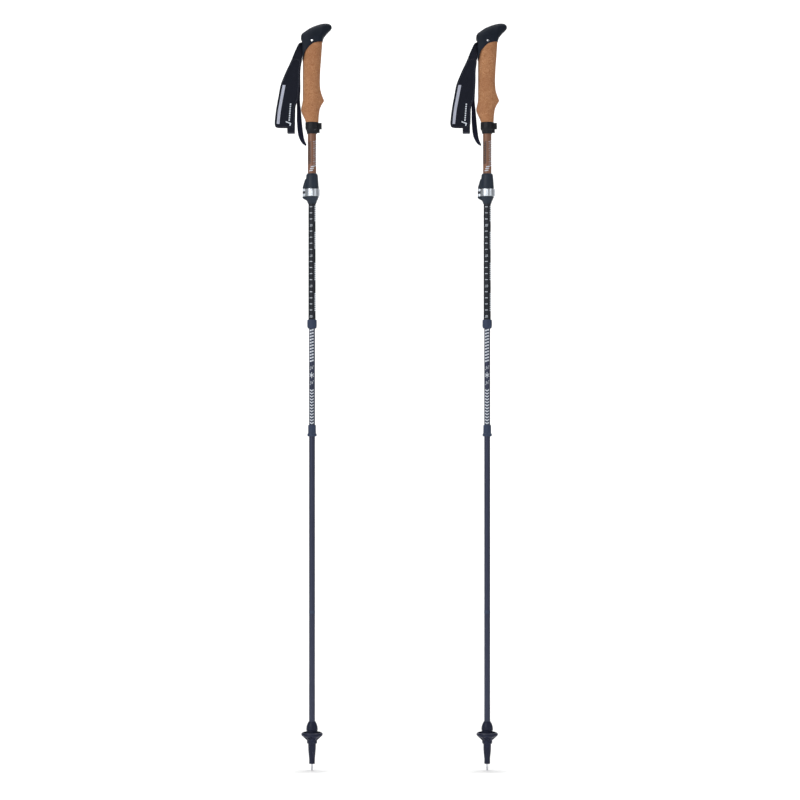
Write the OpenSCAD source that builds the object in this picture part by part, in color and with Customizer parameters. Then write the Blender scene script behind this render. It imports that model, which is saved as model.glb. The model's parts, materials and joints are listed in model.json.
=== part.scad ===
// A pair of folding trekking poles, standing upright side by side.
// +Z is up along the poles, the tips touch z = 0, the beak of each head points to +X,
// and the wrist straps hang on the -X side. Each pole is drawn about its own axis.

/* [Pair] */
// Distance between the axes of the two poles
pole_gap = 289; // [220:1:320]

/* [Tubes] */
// Outer diameter of the handle tube
handle_tube_d = 14; // [13.6:0.1:14.4]
// Outer diameter of the telescoping upper shaft
upper_d = 12; // [11.8:0.1:12.2]
// Outer diameter of the three folding tubes
lower_d = 10; // [9.8:0.1:10.2]
// Wall of the three folding tubes and of the upper shaft
tube_wall = 0.7; // [0.5:0.1:0.9]

/* [Lengths] */
// From the point of the tip to the third (lowest) folding joint
bottom_len = 259; // [230:1:290]
// From the third folding joint to the second
lower_len = 292; // [260:1:320]
// From the second folding joint to the first
middle_len = 178; // [150:1:200]
// Upper shaft that shows between the first joint's ferrule and the lock
upper_show = 191; // [188:0.5:204]
// Handle tube that shows between the lock and the grip collar
handle_show = 65.5; // [56:0.5:72]

/* [Lock] */
// Opening angle at which the lock lever is drawn, 0 is closed
lever_angle = 0; // [0:5:110]

/* [Basket] */
// Outer diameter of the trekking basket
basket_d = 35.8; // [32:0.2:35.8]
// Number of holes through the basket's disc
basket_holes = 6; // [4:1:8]

/* [Hidden] */
$fn = 64;
sides = ["left_", "right_"];
pieces = [
    "head_cap", "cork_grip", "grip_collar", "handle_tube", "roll_pins", "tension_screw",
    "lock_housing", "lock_lever", "upper_bushing", "upper_shaft", "ferrule_1",
    "release_button", "button_spring", "middle_tube", "guide_1", "ferrule_2", "guide_2",
    "lower_tube", "joint_ring", "guide_3", "bottom_tube", "cord_a", "cord_b", "cord_c",
    "cord_d", "basket", "tip_ferrule", "carbide_tip", "wrist_strap", "strap_pad"
];

// Reach of one pole from its axis: the strap to -X and the beak to +X
strap_reach = 61.4;
head_reach = 32.7;
// The whole pair is centred on x = 0
left_x = (strap_reach - head_reach - pole_gap) / 2;
pole_x = [left_x, left_x + pole_gap];

// Radii
handle_r = handle_tube_d / 2;
upper_r = upper_d / 2;
lower_r = lower_d / 2;
lower_bore = lower_r - tube_wall;
upper_bore = upper_r - tube_wall;
run = 0.05;                       // running clearance on a radius
cord_r = 1.2;
cord_hole = 1.5;
roll_pin_r = 1.6;

// Heights of the joints and of the main pieces
joint3_z = bottom_len;
joint2_z = joint3_z + lower_len;
joint1_z = joint2_z + middle_len;
ferrule1_h = 14.5;
ring_h = 5;
shaft_z = joint1_z + ferrule1_h;  // lower end of the upper shaft
lock_z = shaft_z + upper_show;
lock_h = 50;
collar_z = lock_z + lock_h + handle_show;
shaft_top_z = lock_z + 60;        // upper end of the upper shaft, inside the handle tube
handle_tube_top_z = collar_z + 136;

// The cone that centres one folding section in the next
spigot_h = 4;
spigot_r = 4.2;
spigot_top_r = 3.1;
plug_len = 24;

// Strap pin in the head
pin_x = 0.3;
pin_z = collar_z + 152.6;

// Lock
band_z = lock_z + 12;             // lower edge of the lever's band
band_h = 13;
lock_pin_x = -12.6;
band_in_r = 9.9;
band_out_r = 12;
knuckle_r = 3;
screw_lug_y = 3.6;

// Tip and basket
tip_len = 11;
ferrule_end_r = 4.8;
thread_r = 6.4;
basket_z = 44;
shoulder_z = 66;

function half(a, b) = (a + b) / 2;
function power(v, p) = sign(v) * pow(abs(v), p);

// A flat closed ring of points: a rounded rectangle between u0 and u1, and v0 and v1
function ring(u0, u1, v0, v1, squareness, n) = [
    for (i = [0:n - 1])
        let (a = 360 * (i + 0.5) / n)
        [half(u0, u1) + half(u1, -u0) * power(cos(a), 2 / squareness),
         half(v0, v1) + half(v1, -v0) * power(sin(a), 2 / squareness)]
];

// Skins a stack of rings that all have n points
module loft(rings, n) {
    count = len(rings);
    walls = [
        for (k = [0:count - 2]) for (i = [0:n - 1])
            let (j = (i + 1) % n)
            each [[k * n + i, (k + 1) * n + i, (k + 1) * n + j],
                  [k * n + i, (k + 1) * n + j, k * n + j]]
    ];
    bottom = [for (i = [0:n - 1]) i];
    top = [for (i = [n - 1:-1:0]) (count - 1) * n + i];
    polyhedron(points = [for (r = rings) each r], faces = concat(walls, [bottom, top]));
}

module tube(outer, inner, low, high) {
    translate([0, 0, low]) difference() {
        cylinder(r = outer, h = high - low);
        translate([0, 0, -1]) cylinder(r = inner, h = high - low + 2);
    }
}

module rod(r, low, high) {
    translate([0, 0, low]) cylinder(r = r, h = high - low);
}

// Turns a profile of [radius, height] points about the pole
module turned(profile) {
    rotate_extrude() polygon(profile);
}

// An outline of [x, z] points, thick from y0 to y1
module slab(outline, y0, y1) {
    translate([0, y1, 0]) rotate([90, 0, 0]) linear_extrude(height = y1 - y0) polygon(outline);
}

// The centring cone on top of a guide, and the same shape a little larger for its socket
module spigot(joint_z, extra) {
    translate([0, 0, joint_z - (extra > 0 ? 0.01 : 0)])
        cylinder(r1 = spigot_r + extra, r2 = spigot_top_r + extra, h = spigot_h + extra);
}

// ---------------------------------------------------------------- handle

// Heights are above the lower lip of the grip collar: [height, rear x, front x, half width]
grip_sections = [
    [19, -10.4, 10.6, 10.2], [23, -11.6, 10.9, 10.6], [28, -13.9, 11.2, 11.2],
    [33, -16.3, 11.6, 11.9], [38.5, -18.1, 12.2, 12.4], [43, -17.7, 13.4, 12.6],
    [48, -16.5, 15.8, 12.6], [51.5, -15.8, 18.0, 12.5], [54, -15.4, 19.3, 12.4],
    [56.5, -15.2, 19.2, 12.3], [60, -15.1, 18.0, 12.2], [64.5, -15.1, 16.2, 12.1],
    [69, -15.1, 14.8, 12.0], [76, -15.1, 13.6, 12.0], [86, -15.1, 13.1, 12.2],
    [102, -15.1, 13.6, 12.6], [112, -15.1, 14.2, 13.0], [122, -15.2, 15.0, 13.2],
    [135, -15.3, 15.9, 13.4], [147, -15.3, 16.7, 13.5], [156, -15.3, 17.0, 13.5]
];

// The edge between the cap and the cork, seen from the side, then round above the head
cap_edge = [
    [40, 151.6], [10.9, 151.1], [2.1, 148.0], [-4.6, 142.6], [-10.9, 135.6],
    [-13.7, 128.5], [-15.7, 118.6], [-40, 118.6], [-40, 200], [40, 200]
];

// The head: [x, lowest z, highest z, half width]
head_sections = [
    [-18.4, 155.5, 161, 3.5], [-17.7, 153.4, 163, 7.2], [-16.6, 151.6, 164.8, 10.2],
    [-15.6, 118, 166, 11.4], [-13.6, 110, 167.6, 12.5], [-9, 110, 170.8, 13.8],
    [-4, 110, 174.1, 14.2],
    [2, 112, 176.9, 14.3], [8, 114, 179.2, 14.0], [12.5, 120, 180.5, 13.4],
    [16.0, 143, 181.3, 12.5], [18.6, 156.4, 181.8, 11.6], [22, 162, 182.0, 10.3],
    [26, 166.4, 181.8, 8.7], [29.5, 169.6, 180.6, 6.9], [31.7, 172.4, 178.6, 4.6],
    [32.7, 174.3, 176.8, 2.2]
];

function raise(outline) = [for (p = outline) [p[0], p[1] + collar_z]];

module head_form() {
    n = 28;
    loft([for (s = head_sections)
        [for (p = ring(-s[3], s[3], s[1] + collar_z, s[2] + collar_z, 2.5, n)) [s[0], p[0], p[1]]]],
        n);
}

module grip_form() {
    n = 28;
    loft([for (s = grip_sections)
        [for (p = ring(s[1], s[2], -s[3], s[3], 2.3, n)) [p[0], p[1], s[0] + collar_z]]], n);
}

// Slot for the strap's webbing, sloping down to its mouth at the rear of the head
module strap_slot() {
    translate([pin_x, 0, pin_z]) rotate([0, -18, 0])
        translate([-30, -10.5, -3.8]) cube([34, 21, 7.6]);
}

module strap_pin_bore(r) {
    translate([pin_x, 0, pin_z]) rotate([90, 0, 0]) cylinder(r = r, h = 60, center = true);
}

module head_cap() {
    color([0.11, 0.12, 0.15]) difference() {
        intersection() {
            head_form();
            slab(raise(cap_edge), -20, 20);
        }
        strap_slot();
        strap_pin_bore(roll_pin_r);
    }
}

module cork_grip() {
    color([0.70, 0.49, 0.33]) difference() {
        grip_form();
        slab(raise(cap_edge), -20, 20);
        translate([0, 0, collar_z]) cylinder(r = handle_r, h = handle_tube_top_z - collar_z);
    }
}

// Moulded collar under the grip, with the lug of its clip on the front
module grip_collar() {
    lip = 7;
    high = 19;
    color([0.13, 0.14, 0.16]) translate([0, 0, collar_z]) difference() {
        union() {
            turned([[0, 0], [8.2, 0], [9.4, lip - 1.5], [10.6, lip], [11, lip + 1],
                    [11, high - 1], [10.4, high], [0, high]]);
            translate([8, -4, lip + 0.6]) cube([8, 8, high - lip - 1.6]);
            translate([7, -3, 1.5]) cube([5.6, 6, lip]);
        }
        translate([0, 0, -1]) cylinder(r = handle_r, h = high + 2);
        // groove down both cheeks of the lug
        for (y = [-5, 3]) translate([12.2, y, lip + 3.4]) cube([1.2, 2, high]);
    }
}

module handle_tube() {
    color([0.59, 0.43, 0.34])
        tube(handle_r, upper_r + run, band_z + band_h, handle_tube_top_z);
}

// Two identical spring pins: the strap's, across the head, and the lever's pivot
module roll_pins() {
    pin_len = 24;
    color([0.78, 0.79, 0.80]) {
        translate([pin_x, 0, pin_z]) rotate([90, 0, 0])
            difference() {
                cylinder(r = roll_pin_r, h = pin_len + 3.4, center = true);
                cylinder(r = 0.8, h = pin_len + 10, center = true);
            }
        translate([lock_pin_x, 0, band_z + band_h / 2]) difference() {
            cylinder(r = roll_pin_r, h = pin_len - 4, center = true);
            cylinder(r = 0.8, h = pin_len, center = true);
        }
    }
}

// ---------------------------------------------------------------- lock

// Wedge-shaped ear that carries one end of the lever's pivot
module ear(outline, half_width) {
    slab([for (p = outline) [p[0], p[1] + lock_z]], -half_width, half_width);
}

module lock_housing() {
    color([0.19, 0.22, 0.26]) difference() {
        union() {
            turned([
                [0, lock_z], [6.9, lock_z], [7.6, lock_z + 3], [10.9, lock_z + 10.4],
                [11.2, lock_z + 11.8], [9.6, lock_z + 11.8], [9.6, lock_z + 25.2],
                [11.3, lock_z + 25.2], [10.4, lock_z + 38], [9.6, lock_z + 47],
                [8.6, lock_z + 49.4], [7.8, lock_z + 50], [0, lock_z + 50]
            ]);
            // the back of the clamp stays at full size behind the lever
            intersection() {
                tube(11.2, 9, lock_z + 11, lock_z + 26);
                translate([-20, 2.5, lock_z]) cube([40, 20, 50]);
            }
            ear([[-5, 4.6], [-9, 5.6], [-15.6, 9.4], [-15.6, 11.8], [-5, 11.8]], 4.4);
            ear([[-5, 25.2], [-15.4, 25.2], [-15.2, 28], [-11.4, 40.5], [-5, 42]], 4.4);
            // lug at the back for the tension screw and its nut
            translate([-15.4, screw_lug_y, lock_z + 11]) cube([8, 3, 15]);
        }
        // room for the lever's knuckle, as it turns
        translate([lock_pin_x, 0, lock_z + 11.8]) cylinder(r = knuckle_r + 0.35, h = 13.4);
        // bore for the upper shaft, and the seat of the handle tube
        translate([0, 0, lock_z - 1]) cylinder(r = upper_r + run, h = 60);
        translate([0, 0, band_z + band_h]) cylinder(r = handle_r, h = 30);
        // the slit that lets the clamp close
        translate([-9, -0.6, lock_z + 11.8]) cube([4, 1.2, 13.4]);
        translate([lock_pin_x, 0, lock_z + 2]) cylinder(r = roll_pin_r, h = 31);
        // channel of the tension screw
        translate([lock_pin_x, 2, band_z + band_h / 2]) rotate([-90, 0, 0])
            cylinder(r = 1.5 + run, h = 20);
    }
}

// Polished band that wraps the front of the clamp, with a fork at its pivot
module lock_lever() {
    low = band_z + 0.3;
    high = band_z + band_h - 0.5;
    color([0.84, 0.87, 0.89])
    translate([lock_pin_x, 0, 0]) rotate([0, 0, -lever_angle]) translate([-lock_pin_x, 0, 0])
    difference() {
        union() {
            intersection() {
                tube(band_out_r, band_in_r, low, high);
                translate([-20, -20, 0]) cube([40, 19.4, 2000]);
            }
            // thumb tab at the free end
            translate([10.2, -2.4, low]) cube([2.4, 2.4, high - low]);
            translate([lock_pin_x, 0, low]) cylinder(r = knuckle_r, h = high - low);
            translate([lock_pin_x, -3.6, low]) cube([2.6, 3.4, high - low]);
        }
        translate([lock_pin_x, 0, 0]) cylinder(r = roll_pin_r + run, h = 2000);
        // the fork, round the eye of the tension screw
        translate([lock_pin_x, 0, band_z + 4.4]) cylinder(r = 4.1, h = 4.4);
        translate([lock_pin_x - 6, 0, band_z + 4.4]) cube([9, 5, 4.4]);
        cylinder(r = band_in_r, h = 2000);
    }
}

// Eye on the lever's pin, its threaded shank through the back of the clamp, and its nut
module tension_screw() {
    mid_z = band_z + band_h / 2;
    color([0.16, 0.17, 0.20]) {
        difference() {
            union() {
                translate([lock_pin_x, 0, mid_z - 1.9]) cylinder(r = 2.9, h = 3.8);
                translate([lock_pin_x, 0, mid_z]) rotate([-90, 0, 0]) cylinder(r = 1.5, h = 8);
            }
            translate([lock_pin_x, 0, mid_z - 5]) cylinder(r = roll_pin_r, h = 10);
        }
        translate([lock_pin_x, screw_lug_y + 3, mid_z]) rotate([-90, 0, 0]) difference() {
            cylinder(r = 2.9, h = 2.4, $fn = 6);
            translate([0, 0, -1]) cylinder(r = 1.5, h = 5);
        }
    }
}

// ---------------------------------------------------------------- upper shaft

// Nylon bushing that centres the upper shaft inside the handle tube
module upper_bushing() {
    color([0.82, 0.82, 0.78])
    difference() {
        union() {
            rod(upper_bore, shaft_top_z - 12, shaft_top_z);
            rod(upper_r, shaft_top_z, shaft_top_z + 3);
        }
        rod(3.2, shaft_top_z - 20, shaft_top_z + 10);
    }
}

module upper_shaft() {
    color([0.17, 0.18, 0.22]) tube(upper_r, upper_bore, shaft_z, shaft_top_z);
}

button_z = joint1_z + 9;
button_r = 1.9;
button_out_y = 9.4;
flange_r = 2.7;
button_step_y = 6.9;

// Socket at the bottom of the upper shaft, with its plug inside the shaft
module ferrule_1() {
    color([0.30, 0.32, 0.40]) difference() {
        union() {
            turned([
                [0, joint1_z], [7, joint1_z], [8, joint1_z + 3.6], [8, shaft_z - 1.2],
                [7.2, shaft_z], [0, shaft_z]
            ]);
            rod(upper_bore, shaft_z - 1, shaft_z + 19);
        }
        spigot(joint1_z, run);
        rod(cord_hole, joint1_z - 1, shaft_z + 30);
        translate([0, 2.2, button_z]) rotate([-90, 0, 0])
            cylinder(r = flange_r + run, h = button_step_y - 2.2);
        translate([0, 2.2, button_z]) rotate([-90, 0, 0]) cylinder(r = button_r + run, h = 10);
    }
}

// Push button that locks the tensioned sections, with the flange that keeps it in
module release_button() {
    color([0.62, 0.64, 0.66]) translate([0, 0, button_z]) rotate([-90, 0, 0]) {
        translate([0, 0, 6]) cylinder(r = flange_r, h = button_step_y - 0.02 - 6);
        translate([0, 0, 6]) cylinder(r = button_r, h = button_out_y - 6.6);
        translate([0, 0, button_out_y - 0.6])
            cylinder(r1 = button_r, r2 = button_r - 0.5, h = 0.6);
    }
}

// Coil spring behind the button, between the bottom of its bore and the flange
module button_spring() {
    turns = 3;
    wire_r = 0.3;
    coil_r = 1.9;
    per_turn = 16;
    n = 6;
    length = 3.1;
    steps = turns * per_turn;
    color([0.75, 0.76, 0.78]) translate([0, 2.25 + wire_r, button_z]) loft([
        for (k = [0:steps])
            let (a = 360 * k / per_turn)
            [for (i = [0:n - 1])
                let (b = 360 * i / n, r = coil_r + wire_r * cos(b))
                [r * sin(a), length * k / steps + wire_r * sin(b), r * cos(a)]]
    ], n);
}

// ---------------------------------------------------------------- folding sections

module folding_tube(low, high) {
    color([0.14, 0.15, 0.22]) tube(lower_r, lower_bore, low, high);
}

// Plug in the top of a tube, with the centring cone above it and a hole for the cord
module guide(joint_z) {
    color([0.70, 0.71, 0.72]) difference() {
        union() {
            rod(lower_bore, joint_z - plug_len, joint_z);
            spigot(joint_z, 0);
        }
        rod(cord_hole, joint_z - plug_len - 1, joint_z + 10);
    }
}

module middle_tube() {
    folding_tube(joint2_z + 5.5, joint1_z);
}

module lower_tube() {
    folding_tube(joint3_z + ring_h, joint2_z);
}

module bottom_tube() {
    folding_tube(basket_z - 4, joint3_z);
}

// Flanged sleeve on the lower end of the middle tube
module ferrule_2() {
    color([0.24, 0.26, 0.33]) difference() {
        turned([
            [0, joint2_z], [7, joint2_z], [7.75, joint2_z + 1], [7.75, joint2_z + 4],
            [6.6, joint2_z + 5.2], [6.5, joint2_z + 18], [5.7, joint2_z + 19], [0, joint2_z + 19]
        ]);
        spigot(joint2_z, run);
        rod(cord_hole, joint2_z - 1, joint2_z + 10);
        rod(lower_r, joint2_z + 5.5, joint2_z + 30);
    }
}

// Flush ring between the two lowest tubes, with its plug inside the lower tube
module joint_ring() {
    color([0.20, 0.21, 0.28]) difference() {
        union() {
            turned([
                [0, joint3_z], [lower_r, joint3_z], [lower_r + 0.15, joint3_z + 0.6],
                [lower_r + 0.15, joint3_z + ring_h - 0.6], [lower_r, joint3_z + ring_h],
                [0, joint3_z + ring_h]
            ]);
            rod(lower_bore, joint3_z + ring_h - 1, joint3_z + ring_h + 20);
        }
        spigot(joint3_z, run);
        rod(cord_hole, joint3_z - 1, joint3_z + ring_h + 30);
    }
}

// ---------------------------------------------------------------- tension cord

module cord(low, high) {
    color([0.75, 0.20, 0.15]) rod(cord_r, low, high);
}

// Crimped ball that holds an end of the cord
module crimp(z) {
    color([0.75, 0.20, 0.15]) translate([0, 0, z]) cylinder(r = 2.4, h = 5);
}

module cord_a() {
    cord(joint1_z + spigot_h + 0.2, shaft_z + 20);
    crimp(shaft_z + 19.2);
}

module cord_b() {
    cord(joint2_z + spigot_h + 0.2, joint1_z + spigot_h);
}

module cord_c() {
    cord(joint3_z + spigot_h + 0.2, joint2_z + spigot_h);
}

module cord_d() {
    cord(joint3_z - plug_len - 2, joint3_z + spigot_h);
    crimp(joint3_z - plug_len - 5.2);
}

// ---------------------------------------------------------------- tip

// Shallow disc with a turned-up rim and a hub above and below, screwed on to the tip
module basket() {
    disc_r = basket_d / 2;
    low = basket_z;
    hub_r = 8.4;
    hole_r = 1.9;
    rib = 1.6;
    color([0.12, 0.13, 0.20]) difference() {
        union() {
            turned([
                [0, low], [hub_r - 1, low], [hub_r, low + 1.6], [hub_r, low + 6.6],
                [hub_r + 1, low + 10.2], [disc_r - 4, low + 11.2], [disc_r - 1.2, low + 13],
                [disc_r, low + 15.2], [disc_r - 0.5, low + 17.2], [disc_r - 2.6, low + 19],
                [disc_r - 3.6, low + 18.2], [disc_r - 3.2, low + 16], [disc_r - 4.4, low + 14],
                [hub_r + 2.2, low + 13.2], [hub_r + 1, low + 15], [hub_r + 1, low + 21.6],
                [0, low + 21.6]
            ]);
            // ribs under the disc, between the holes
            for (k = [0:basket_holes - 1]) rotate([0, 0, 360 * k / basket_holes])
                slab([[hub_r - 1, low + 5.6], [hub_r, low + 5.6], [disc_r - 2.4, low + 12],
                      [disc_r - 2.4, low + 12.6], [hub_r - 1, low + 12.6]], -rib / 2, rib / 2);
        }
        rod(thread_r + run, low - 1, low + 30);
        for (k = [0:basket_holes - 1]) rotate([0, 0, 360 * (k + 0.5) / basket_holes])
            translate([half(hub_r + 1, disc_r - 4), 0, low]) cylinder(r = hole_r, h = 30);
    }
}

// Moulded tip: cylindrical end for a rubber foot, taper, basket seat and shoulder
module tip_ferrule() {
    color([0.14, 0.15, 0.24]) difference() {
        turned([
            [0, tip_len], [ferrule_end_r, tip_len], [ferrule_end_r, 19], [5.3, 24], [5.8, 29],
            [6.2, 34], [thread_r, 39], [thread_r, shoulder_z], [9.3, shoulder_z],
            [9.8, shoulder_z + 1.6], [9.4, shoulder_z + 5.6], [8.6, shoulder_z + 8.6],
            [7.2, shoulder_z + 12], [5.6, shoulder_z + 15], [0, shoulder_z + 15]
        ]);
        rod(lower_r, basket_z - 4, shoulder_z + 30);
        rod(1.8, tip_len - 1, tip_len + 14);
        // flutes round the shoulder
        for (a = [0:60:300]) rotate([0, 0, a]) translate([11.2, 0, shoulder_z - 1])
            cylinder(r = 2.2, h = 14);
    }
}

// Carbide tip with a hollow-ground crown
module carbide_tip() {
    color([0.72, 0.73, 0.75]) difference() {
        union() {
            rod(1.8, 5.2, tip_len + 14);
            translate([0, 0, 1]) cylinder(r1 = 1.5, r2 = 2.3, h = 4.2);
            cylinder(r1 = 1.1, r2 = 1.5, h = 1);
        }
        translate([0, 0, -0.9]) cylinder(r1 = 1.6, r2 = 0.2, h = 2);
    }
}

// ---------------------------------------------------------------- strap

// Heights are above the lower lip of the grip collar
strap_top = [[-24.6, 142], [-19.3, 145.2], [-17.4, 136], [-17, 122], [-32.5, 122]];
strap_back = [[-31.5, 122.5], [-19, 122.5], [-22, 95], [-26.6, 60], [-28, 1], [-41, 1], [-42, 60],
              [-40, 100]];
strap_tail = [[-25, 122.5], [-17, 122.5], [-19.6, 104], [-19.4, 75], [-20.4, 56], [-18.6, 38],
              [-17.4, 24], [-15.6, 8], [-14.2, -7], [-9.6, -17.5], [-9.6, -19.2], [-15.4, -15],
              [-20, -9], [-23.4, 0], [-25.4, 12], [-25.6, 60]];
strap_turn = [[-41, 0.2], [-28, 0.2], [-28, 2.6], [-41, 2.6]];
strap_lap = [[-41, 2], [-28, 2], [-28, 7.6], [-41, 7.6]];
pad_outline = [[-33, 120.5], [-43, 100.5], [-51, 81], [-54.6, 61], [-58.4, 41], [-61, 21],
               [-61.4, 13], [-60, 9.2], [-57, 8], [-30, 8], [-27.8, 10], [-27, 44],
               [-21, 58], [-19.6, 84], [-19.2, 102], [-17.2, 120.5]];

strap_front_y = -12.8;
strap_rear_y = 8.5;
strap_rear_end_y = 10.5;
pad_front_y = -14;
pad_rear_y = -9.8;

// Webbing: the twist below the head, the rear strand, the turn under the pad, and the tail
module wrist_strap() {
    color([0.08, 0.09, 0.12]) {
        slab(raise(strap_top), strap_front_y, strap_rear_end_y);
        slab(raise(strap_back), strap_rear_y, strap_rear_end_y);
        slab(raise(strap_turn), strap_front_y, strap_rear_end_y - 1);
        slab(raise(strap_lap), strap_front_y, strap_front_y + 2.4);
        slab(raise(strap_tail), strap_rear_y, strap_rear_end_y);
    }
}

module strap_pad() {
    color([0.10, 0.11, 0.15]) slab(raise(pad_outline), pad_front_y, pad_rear_y);
}

for (side = [0, 1]) translate([pole_x[side], 0, 0]) {
    name = sides[side];
    head_cap();
    cork_grip();
    grip_collar();
    handle_tube();
    roll_pins();
    tension_screw();
    lock_housing();
    lock_lever();
    upper_bushing();
    upper_shaft();
    ferrule_1();
    release_button();
    button_spring();
    middle_tube();
    guide(joint1_z);
    ferrule_2();
    guide(joint2_z);
    lower_tube();
    joint_ring();
    guide(joint3_z);
    bottom_tube();
    cord_a();
    cord_b();
    cord_c();
    cord_d();
    basket();
    tip_ferrule();
    carbide_tip();
    wrist_strap();
    strap_pad();
}
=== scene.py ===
"""A pair of folding trekking poles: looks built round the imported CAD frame.

Points inside a pole are millimetres: x from the pole's axis, y away from the viewer, z up from
the floor. Heights on the handle are counted from the lower lip of the grip collar.
"""
import json
import math

import bmesh
import bpy
import numpy as np
from mathutils import Matrix, Vector
from mathutils.bvhtree import BVHTree


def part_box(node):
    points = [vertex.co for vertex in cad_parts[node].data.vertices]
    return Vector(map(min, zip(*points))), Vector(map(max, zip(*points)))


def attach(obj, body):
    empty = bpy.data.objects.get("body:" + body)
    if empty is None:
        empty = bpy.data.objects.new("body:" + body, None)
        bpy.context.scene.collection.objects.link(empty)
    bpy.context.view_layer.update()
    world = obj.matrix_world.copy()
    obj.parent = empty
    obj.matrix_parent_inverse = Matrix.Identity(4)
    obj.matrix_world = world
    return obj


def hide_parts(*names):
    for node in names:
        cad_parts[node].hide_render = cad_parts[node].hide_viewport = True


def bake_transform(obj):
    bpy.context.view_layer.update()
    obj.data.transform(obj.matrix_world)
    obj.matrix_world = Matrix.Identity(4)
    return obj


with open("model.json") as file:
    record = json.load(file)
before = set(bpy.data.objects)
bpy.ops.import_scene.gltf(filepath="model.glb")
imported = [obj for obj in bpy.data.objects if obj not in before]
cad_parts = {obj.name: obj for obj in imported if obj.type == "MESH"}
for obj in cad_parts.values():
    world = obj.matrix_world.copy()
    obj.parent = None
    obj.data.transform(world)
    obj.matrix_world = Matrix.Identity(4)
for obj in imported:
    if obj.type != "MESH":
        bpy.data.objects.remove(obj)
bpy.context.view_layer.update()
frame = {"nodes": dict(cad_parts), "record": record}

MM = 0.001
SIDES = ("left_", "right_")
WEAVE_MAP = "weave"


# ------------------------------------------------------------------ camera, lights, floor

def placed(name, data):
    """A new object in the scene."""
    item = bpy.data.objects.new(name, data)
    bpy.context.scene.collection.objects.link(item)
    return item


def make_camera():
    """Level, far away and square to the pair."""
    data = bpy.data.cameras.new("camera")
    data.lens = 109.1
    data.sensor_width = 36
    camera = placed("camera", data)
    camera.location = (0.015, -4.0, 0.611)
    camera.rotation_euler = (math.radians(90), 0, 0)
    bpy.context.scene.camera = camera


def add_area_light(name, place, aim, size, power):
    data = bpy.data.lights.new(name, "AREA")
    data.shape = "RECTANGLE"
    data.size, data.size_y = size
    data.energy = power
    light = placed(name, data)
    light.location = place
    light.rotation_euler = (Vector(aim) - Vector(place)).to_track_quat("-Z", "Y").to_euler()


def make_studio():
    """Pale floor that curves up into a backdrop, and soft lights: a big one on the left, a
    weaker fill on the right, a strip in front and one for the backdrop."""
    half_width, front, back, height, sweep = 9.0, -7.0, 5.0, 8.0, 1.5
    profile = [(front, 0), (back - sweep, 0)]
    bend_steps = 12
    for k in range(1, bend_steps + 1):
        a = math.radians(90 * k / bend_steps)
        profile.append((back - sweep + sweep * math.sin(a), sweep - sweep * math.cos(a)))
    profile.append((back, height))
    points = [(x, y, z) for y, z in profile for x in (-half_width, half_width)]
    faces = [(2 * k, 2 * k + 1, 2 * k + 3, 2 * k + 2) for k in range(len(profile) - 1)]
    mesh = bpy.data.meshes.new("studio_floor")
    mesh.from_pydata(points, [], faces)
    mesh.shade_smooth()
    floor = placed("studio_floor", mesh)
    mesh.materials.append(paper)

    add_area_light("key", (-2.6, -3.2, 2.6), (0, 0, 0.7), (1.6, 2.6), 85)
    add_area_light("fill", (3.4, -2.6, 1.8), (0, 0, 0.6), (1.6, 2.4), 16)
    add_area_light("front_strip", (-0.35, -4.6, 1.5), (0, 0, 0.6), (0.5, 2.4), 20)
    add_area_light("backdrop_light", (0, 1.2, 5.5), (0, 4.6, 0.9), (6, 2), 330)
    world = bpy.data.worlds.new("studio")
    world.use_nodes = True
    glow = world.node_tree.nodes["Background"].inputs
    glow["Color"].default_value = (1, 1, 1, 1)
    glow["Strength"].default_value = 0.28
    bpy.context.scene.world = world
    bpy.context.scene.view_settings.view_transform = "Standard"


# ------------------------------------------------------------------ materials

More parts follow.
